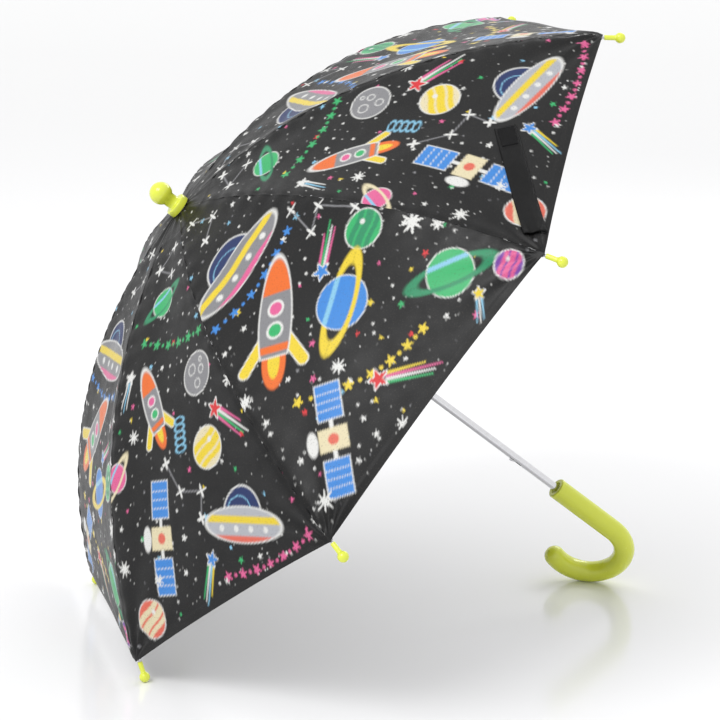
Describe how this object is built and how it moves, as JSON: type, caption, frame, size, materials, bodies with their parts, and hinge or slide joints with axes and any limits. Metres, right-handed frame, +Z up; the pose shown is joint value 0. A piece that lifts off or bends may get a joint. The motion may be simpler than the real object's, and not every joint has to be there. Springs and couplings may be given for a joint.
{
  "type": "children's umbrella",
  "caption": "Open stick umbrella for a child: domed cloth canopy on hinged wire ribs, sliding runner with spring catches, straight shaft and hooked plastic handle.",
  "frame": {"origin": "point where the handle's bend rests on the floor", "axes": "+Z up from the floor; the shaft lies in the XZ plane, rising towards -X from the handle to the finial"},
  "size_m": [0.5045, 0.6554, 0.5217],
  "materials": {
    "lime_plastic": "glossy moulded lime yellow",
    "chrome_tube": "polished",
    "frame_steel": "zinc-plated wire and strip",
    "hub_plastic": "black moulded nylon",
    "canopy_cloth": "black satin polyester with a space print",
    "strap_cloth": "plain black woven strap"
  },
  "bodies": {
    "shaft": {"shaft": "chrome_tube", "handle": "lime_plastic", "finial": "lime_plastic", "crown": "hub_plastic", "crown_wire": "frame_steel", "crown_pin": "frame_steel", "rosette": "canopy_cloth"},
    "runner": {"runner": "hub_plastic", "runner_wire": "frame_steel"},
    "top_catch": {"top_catch": "frame_steel"},
    "bottom_catch": {"bottom_catch": "frame_steel"},
    "rib_inner_1": {"rib_inner_1": "frame_steel"},
    "rib_outer_1": {"rib_outer_1": "frame_steel", "rib_tip_1": "lime_plastic"},
    "stretcher_1": {"stretcher_1": "frame_steel"},
    "canopy_gore_1": {"canopy_gore_1": "canopy_cloth"},
    "canopy_hem_1": {"canopy_hem_1": "canopy_cloth"},
    "rib_inner_2": {"rib_inner_2": "frame_steel"},
    "rib_outer_2": {"rib_outer_2": "frame_steel", "rib_tip_2": "lime_plastic"},
    "stretcher_2": {"stretcher_2": "frame_steel"},
    "canopy_gore_2": {"canopy_gore_2": "canopy_cloth"},
    "canopy_hem_2": {"canopy_hem_2": "canopy_cloth"},
    "rib_inner_3": {"rib_inner_3": "frame_steel"},
    "rib_outer_3": {"rib_outer_3": "frame_steel", "rib_tip_3": "lime_plastic"},
    "stretcher_3": {"stretcher_3": "frame_steel"},
    "canopy_gore_3": {"canopy_gore_3": "canopy_cloth"},
    "canopy_hem_3": {"canopy_hem_3": "canopy_cloth"},
    "rib_inner_4": {"rib_inner_4": "frame_steel"},
    "rib_outer_4": {"rib_outer_4": "frame_steel", "rib_tip_4": "lime_plastic"},
    "stretcher_4": {"stretcher_4": "frame_steel"},
    "canopy_gore_4": {"canopy_gore_4": "canopy_cloth"},
    "canopy_hem_4": {"canopy_hem_4": "canopy_cloth"},
    "rib_inner_5": {"rib_inner_5": "frame_steel"},
    "rib_outer_5": {"rib_outer_5": "frame_steel", "rib_tip_5": "lime_plastic"},
    "stretcher_5": {"stretcher_5": "frame_steel"},
    "canopy_gore_5": {"canopy_gore_5": "canopy_cloth"},
    "canopy_hem_5": {"canopy_hem_5": "canopy_cloth"},
    "rib_inner_6": {"rib_inner_6": "frame_steel"},
    "rib_outer_6": {"rib_outer_6": "frame_steel", "rib_tip_6": "lime_plastic"},
    "stretcher_6": {"stretcher_6": "frame_steel"},
    "canopy_gore_6": {"canopy_gore_6": "canopy_cloth"},
    "canopy_hem_6": {"canopy_hem_6": "canopy_cloth"},
    "rib_inner_7": {"rib_inner_7": "frame_steel"},
    "rib_outer_7": {"rib_outer_7": "frame_steel", "rib_tip_7": "lime_plastic"},
    "stretcher_7": {"stretcher_7": "frame_steel"},
    "canopy_gore_7": {"canopy_gore_7": "canopy_cloth"},
    "canopy_hem_7": {"canopy_hem_7": "canopy_cloth", "tie_strap": "strap_cloth"},
    "rib_inner_8": {"rib_inner_8": "frame_steel"},
    "rib_outer_8": {"rib_outer_8": "frame_steel", "rib_tip_8": "lime_plastic"},
    "stretcher_8": {"stretcher_8": "frame_steel"},
    "canopy_gore_8": {"canopy_gore_8": "canopy_cloth"},
    "canopy_hem_8": {"canopy_hem_8": "canopy_cloth"}
  },
  "joints": [
    {"name": "rib_1_fold", "type": "hinge", "parent": "shaft", "child": "rib_inner_1", "pos_m": [-0.38758, -0.03535, 0.37157], "axis": [-0.233, 0.9239, -0.3036], "range_deg": [0, 73.5], "deforming": ["canopy_gore_1", "canopy_gore_2", "canopy_gore_3", "canopy_gore_4", "canopy_gore_5", "canopy_gore_6", "canopy_gore_7", "canopy_gore_8", "canopy_hem_1", "canopy_hem_2", "canopy_hem_3", "canopy_hem_4", "canopy_hem_5", "canopy_hem_6", "canopy_hem_7", "canopy_hem_8", "tie_strap", "top_catch", "bottom_catch"]},
    {"name": "stretcher_1_swing", "type": "hinge", "parent": "rib_inner_1", "child": "stretcher_1", "pos_m": [-0.26786, 0.02555, 0.46501], "axis": [-0.233, 0.9239, -0.3036], "range_deg": [-147.5, 0]},
    {"name": "rib_1_bend", "type": "hinge", "parent": "rib_inner_1", "child": "rib_outer_1", "pos_m": [-0.26786, 0.02555, 0.46501], "axis": [-0.233, 0.9239, -0.3036], "range_deg": [-20.12, 0]},
    {"name": "gore_1_fold", "type": "hinge", "parent": "shaft", "child": "canopy_gore_1", "pos_m": [-0.39104, -0.03359, 0.372], "axis": [-0.4305, 0.7071, -0.5609], "range_deg": [0, 73.01]},
    {"name": "hem_1_bend", "type": "hinge", "parent": "canopy_gore_1", "child": "canopy_hem_1", "pos_m": [-0.2985, 0.07183, 0.43388], "axis": [-0.4305, 0.7071, -0.5609], "range_deg": [-21.3, 0]},
    {"name": "rib_2_fold", "type": "hinge", "parent": "shaft", "child": "rib_inner_2", "pos_m": [-0.38973, -0.03184, 0.36878], "axis": [-0.5625, 0.3827, -0.7329], "range_deg": [0, 74]},
    {"name": "stretcher_2_swing", "type": "hinge", "parent": "rib_inner_2", "child": "stretcher_2", "pos_m": [-0.32244, 0.11519, 0.3939], "axis": [-0.5625, 0.3827, -0.7329], "range_deg": [-147.5, 0]},
    {"name": "rib_2_bend", "type": "hinge", "parent": "rib_inner_2", "child": "rib_outer_2", "pos_m": [-0.32244, 0.11519, 0.3939], "axis": [-0.5625, 0.3827, -0.7329], "range_deg": [-20.12, 0]},
    {"name": "gore_2_fold", "type": "hinge", "parent": "shaft", "child": "canopy_gore_2", "pos_m": [-0.39362, -0.03184, 0.36863], "axis": [-0.6089, 0, -0.7933], "range_deg": [0, 73.01]},
    {"name": "hem_2_bend", "type": "hinge", "parent": "canopy_gore_2", "child": "canopy_hem_2", "pos_m": [-0.36528, 0.11726, 0.34688], "axis": [-0.6089, 0, -0.7933], "range_deg": [-21.3, 0]},
    {"name": "rib_3_fold", "type": "hinge", "parent": "shaft", "child": "rib_inner_3", "pos_m": [-0.39276, -0.03184, 0.36483], "axis": [-0.5625, -0.3827, -0.7329], "range_deg": [0, 74]},
    {"name": "stretcher_3_swing", "type": "hinge", "parent": "rib_inner_3", "child": "stretcher_3", "pos_m": [-0.39963, 0.11519, 0.29334], "axis": [-0.5625, -0.3827, -0.7329], "range_deg": [-147.5, 0]},
    {"name": "rib_3_bend", "type": "hinge", "parent": "rib_inner_3", "child": "rib_outer_3", "pos_m": [-0.39963, 0.11519, 0.29334], "axis": [-0.5625, -0.3827, -0.7329], "range_deg": [-20.12, 0]},
    {"name": "gore_3_fold", "type": "hinge", "parent": "shaft", "child": "canopy_gore_3", "pos_m": [-0.39621, -0.03359, 0.36526], "axis": [-0.4305, -0.7071, -0.5609], "range_deg": [0, 73.01]},
    {"name": "hem_3_bend", "type": "hinge", "parent": "canopy_gore_3", "child": "canopy_hem_3", "pos_m": [-0.43206, 0.07183, 0.25988], "axis": [-0.4305, -0.7071, -0.5609], "range_deg": [-21.3, 0]},
    {"name": "rib_4_fold", "type": "hinge", "parent": "shaft", "child": "rib_inner_4", "pos_m": [-0.3949, -0.03535, 0.36204], "axis": [-0.233, -0.9239, -0.3036], "range_deg": [0, 74]},
    {"name": "stretcher_4_swing", "type": "hinge", "parent": "rib_inner_4", "child": "stretcher_4", "pos_m": [-0.45421, 0.02555, 0.22223], "axis": [-0.233, -0.9239, -0.3036], "range_deg": [-147.5, 0]},
    {"name": "rib_4_bend", "type": "hinge", "parent": "rib_inner_4", "child": "rib_outer_4", "pos_m": [-0.45421, 0.02555, 0.22223], "axis": [-0.233, -0.9239, -0.3036], "range_deg": [-20.12, 0]},
    {"name": "gore_4_fold", "type": "hinge", "parent": "shaft", "child": "canopy_gore_4", "pos_m": [-0.39728, -0.03784, 0.36387], "axis": [0, -1, 0], "range_deg": [0, 73.01]},
    {"name": "hem_4_bend", "type": "hinge", "parent": "canopy_gore_4", "child": "canopy_hem_4", "pos_m": [-0.45972, -0.03784, 0.22384], "axis": [0, -1, 0], "range_deg": [-21.3, 0]},
    {"name": "rib_5_fold", "type": "hinge", "parent": "shaft", "child": "rib_inner_5", "pos_m": [-0.3949, -0.04033, 0.36204], "axis": [0.233, -0.9239, 0.3036], "range_deg": [0, 74]},
    {"name": "stretcher_5_swing", "type": "hinge", "parent": "rib_inner_5", "child": "stretcher_5", "pos_m": [-0.45421, -0.10123, 0.22223], "axis": [0.233, -0.9239, 0.3036], "range_deg": [-147.5, 0]},
    {"name": "rib_5_bend", "type": "hinge", "parent": "rib_inner_5", "child": "rib_outer_5", "pos_m": [-0.45421, -0.10123, 0.22223], "axis": [0.233, -0.9239, 0.3036], "range_deg": [-20.12, 0]},
    {"name": "gore_5_fold", "type": "hinge", "parent": "shaft", "child": "canopy_gore_5", "pos_m": [-0.39621, -0.04209, 0.36526], "axis": [0.4305, -0.7071, 0.5609], "range_deg": [0, 73.01]},
    {"name": "hem_5_bend", "type": "hinge", "parent": "canopy_gore_5", "child": "canopy_hem_5", "pos_m": [-0.43206, -0.14752, 0.25988], "axis": [0.4305, -0.7071, 0.5609], "range_deg": [-21.3, 0]},
    {"name": "rib_6_fold", "type": "hinge", "parent": "shaft", "child": "rib_inner_6", "pos_m": [-0.39276, -0.04385, 0.36483], "axis": [0.5625, -0.3827, 0.7329], "range_deg": [0, 74]},
    {"name": "stretcher_6_swing", "type": "hinge", "parent": "rib_inner_6", "child": "stretcher_6", "pos_m": [-0.39963, -0.19087, 0.29334], "axis": [0.5625, -0.3827, 0.7329], "range_deg": [-147.5, 0]},
    {"name": "rib_6_bend", "type": "hinge", "parent": "rib_inner_6", "child": "rib_outer_6", "pos_m": [-0.39963, -0.19087, 0.29334], "axis": [0.5625, -0.3827, 0.7329], "range_deg": [-20.12, 0]},
    {"name": "gore_6_fold", "type": "hinge", "parent": "shaft", "child": "canopy_gore_6", "pos_m": [-0.39362, -0.04385, 0.36863], "axis": [0.6089, 0, 0.7933], "range_deg": [0, 73.01]},
    {"name": "hem_6_bend", "type": "hinge", "parent": "canopy_gore_6", "child": "canopy_hem_6", "pos_m": [-0.36528, -0.19295, 0.34688], "axis": [0.6089, 0, 0.7933], "range_deg": [-21.3, 0]},
    {"name": "rib_7_fold", "type": "hinge", "parent": "shaft", "child": "rib_inner_7", "pos_m": [-0.38973, -0.04385, 0.36878], "axis": [0.5625, 0.3827, 0.7329], "range_deg": [0, 74]},
    {"name": "stretcher_7_swing", "type": "hinge", "parent": "rib_inner_7", "child": "stretcher_7", "pos_m": [-0.32244, -0.19087, 0.3939], "axis": [0.5625, 0.3827, 0.7329], "range_deg": [-147.5, 0]},
    {"name": "rib_7_bend", "type": "hinge", "parent": "rib_inner_7", "child": "rib_outer_7", "pos_m": [-0.32244, -0.19087, 0.3939], "axis": [0.5625, 0.3827, 0.7329], "range_deg": [-20.12, 0]},
    {"name": "gore_7_fold", "type": "hinge", "parent": "shaft", "child": "canopy_gore_7", "pos_m": [-0.39104, -0.04209, 0.372], "axis": [0.4305, 0.7071, 0.5609], "range_deg": [0, 73.01]},
    {"name": "hem_7_bend", "type": "hinge", "parent": "canopy_gore_7", "child": "canopy_hem_7", "pos_m": [-0.2985, -0.14752, 0.43388], "axis": [0.4305, 0.7071, 0.5609], "range_deg": [-21.3, 0]},
    {"name": "rib_8_fold", "type": "hinge", "parent": "shaft", "child": "rib_inner_8", "pos_m": [-0.38758, -0.04033, 0.37157], "axis": [0.233, 0.9239, 0.3036], "range_deg": [0, 74]},
    {"name": "stretcher_8_swing", "type": "hinge", "parent": "rib_inner_8", "child": "stretcher_8", "pos_m": [-0.26786, -0.10123, 0.46501], "axis": [0.233, 0.9239, 0.3036], "range_deg": [-147.5, 0]},
    {"name": "rib_8_bend", "type": "hinge", "parent": "rib_inner_8", "child": "rib_outer_8", "pos_m": [-0.26786, -0.10123, 0.46501], "axis": [0.233, 0.9239, 0.3036], "range_deg": [-20.12, 0]},
    {"name": "gore_8_fold", "type": "hinge", "parent": "shaft", "child": "canopy_gore_8", "pos_m": [-0.38996, -0.03784, 0.37339], "axis": [0, 1, 0], "range_deg": [0, 73.01]},
    {"name": "hem_8_bend", "type": "hinge", "parent": "canopy_gore_8", "child": "canopy_hem_8", "pos_m": [-0.27084, -0.03784, 0.46991], "axis": [0, 1, 0], "range_deg": [-21.3, 0]},
    {"name": "runner_pivot", "type": "hinge", "parent": "stretcher_1", "child": "runner", "pos_m": [-0.32718, -0.03535, 0.3252], "axis": [-0.233, 0.9239, -0.3036], "range_deg": [0, 74]},
    {"name": "top_catch_press", "type": "hinge", "parent": "shaft", "child": "top_catch", "pos_m": [-0.26872, -0.0383, 0.27136], "axis": [-0.233, 0.9239, -0.3036], "range_deg": [0, 7], "stiffness_Nm_per_rad": 0.02},
    {"name": "bottom_catch_press", "type": "hinge", "parent": "shaft", "child": "bottom_catch", "pos_m": [-0.07858, -0.0383, 0.12542], "axis": [-0.233, 0.9239, -0.3036], "range_deg": [0, 7], "stiffness_Nm_per_rad": 0.02}
  ],
  "couplings": [
    {"joint": "stretcher_1_swing", "follows": "rib_1_fold", "ratio": -2},
    {"joint": "rib_1_bend", "follows": "rib_1_fold", "ratio": -0.267},
    {"joint": "gore_1_fold", "follows": "rib_1_fold", "ratio": 0.9865},
    {"joint": "hem_1_bend", "follows": "rib_1_fold", "ratio": -0.283},
    {"joint": "rib_2_fold", "follows": "rib_1_fold", "ratio": 1},
    {"joint": "stretcher_2_swing", "follows": "rib_1_fold", "ratio": -2},
    {"joint": "rib_2_bend", "follows": "rib_1_fold", "ratio": -0.267},
    {"joint": "gore_2_fold", "follows": "rib_1_fold", "ratio": 0.9865},
    {"joint": "hem_2_bend", "follows": "rib_1_fold", "ratio": -0.283},
    {"joint": "rib_3_fold", "follows": "rib_1_fold", "ratio": 1},
    {"joint": "stretcher_3_swing", "follows": "rib_1_fold", "ratio": -2},
    {"joint": "rib_3_bend", "follows": "rib_1_fold", "ratio": -0.267},
    {"joint": "gore_3_fold", "follows": "rib_1_fold", "ratio": 0.9865},
    {"joint": "hem_3_bend", "follows": "rib_1_fold", "ratio": -0.283},
    {"joint": "rib_4_fold", "follows": "rib_1_fold", "ratio": 1},
    {"joint": "stretcher_4_swing", "follows": "rib_1_fold", "ratio": -2},
    {"joint": "rib_4_bend", "follows": "rib_1_fold", "ratio": -0.267},
    {"joint": "gore_4_fold", "follows": "rib_1_fold", "ratio": 0.9865},
    {"joint": "hem_4_bend", "follows": "rib_1_fold", "ratio": -0.283},
    {"joint": "rib_5_fold", "follows": "rib_1_fold", "ratio": 1},
    {"joint": "stretcher_5_swing", "follows": "rib_1_fold", "ratio": -2},
    {"joint": "rib_5_bend", "follows": "rib_1_fold", "ratio": -0.267},
    {"joint": "gore_5_fold", "follows": "rib_1_fold", "ratio": 0.9865},
    {"joint": "hem_5_bend", "follows": "rib_1_fold", "ratio": -0.283},
    {"joint": "rib_6_fold", "follows": "rib_1_fold", "ratio": 1},
    {"joint": "stretcher_6_swing", "follows": "rib_1_fold", "ratio": -2},
    {"joint": "rib_6_bend", "follows": "rib_1_fold", "ratio": -0.267},
    {"joint": "gore_6_fold", "follows": "rib_1_fold", "ratio": 0.9865},
    {"joint": "hem_6_bend", "follows": "rib_1_fold", "ratio": -0.283},
    {"joint": "rib_7_fold", "follows": "rib_1_fold", "ratio": 1},
    {"joint": "stretcher_7_swing", "follows": "rib_1_fold", "ratio": -2},
    {"joint": "rib_7_bend", "follows": "rib_1_fold", "ratio": -0.267},
    {"joint": "gore_7_fold", "follows": "rib_1_fold", "ratio": 0.9865},
    {"joint": "hem_7_bend", "follows": "rib_1_fold", "ratio": -0.283},
    {"joint": "rib_8_fold", "follows": "rib_1_fold", "ratio": 1},
    {"joint": "stretcher_8_swing", "follows": "rib_1_fold", "ratio": -2},
    {"joint": "rib_8_bend", "follows": "rib_1_fold", "ratio": -0.267},
    {"joint": "gore_8_fold", "follows": "rib_1_fold", "ratio": 0.9865},
    {"joint": "hem_8_bend", "follows": "rib_1_fold", "ratio": -0.283},
    {"joint": "runner_pivot", "follows": "rib_1_fold", "ratio": 1}
  ]
}
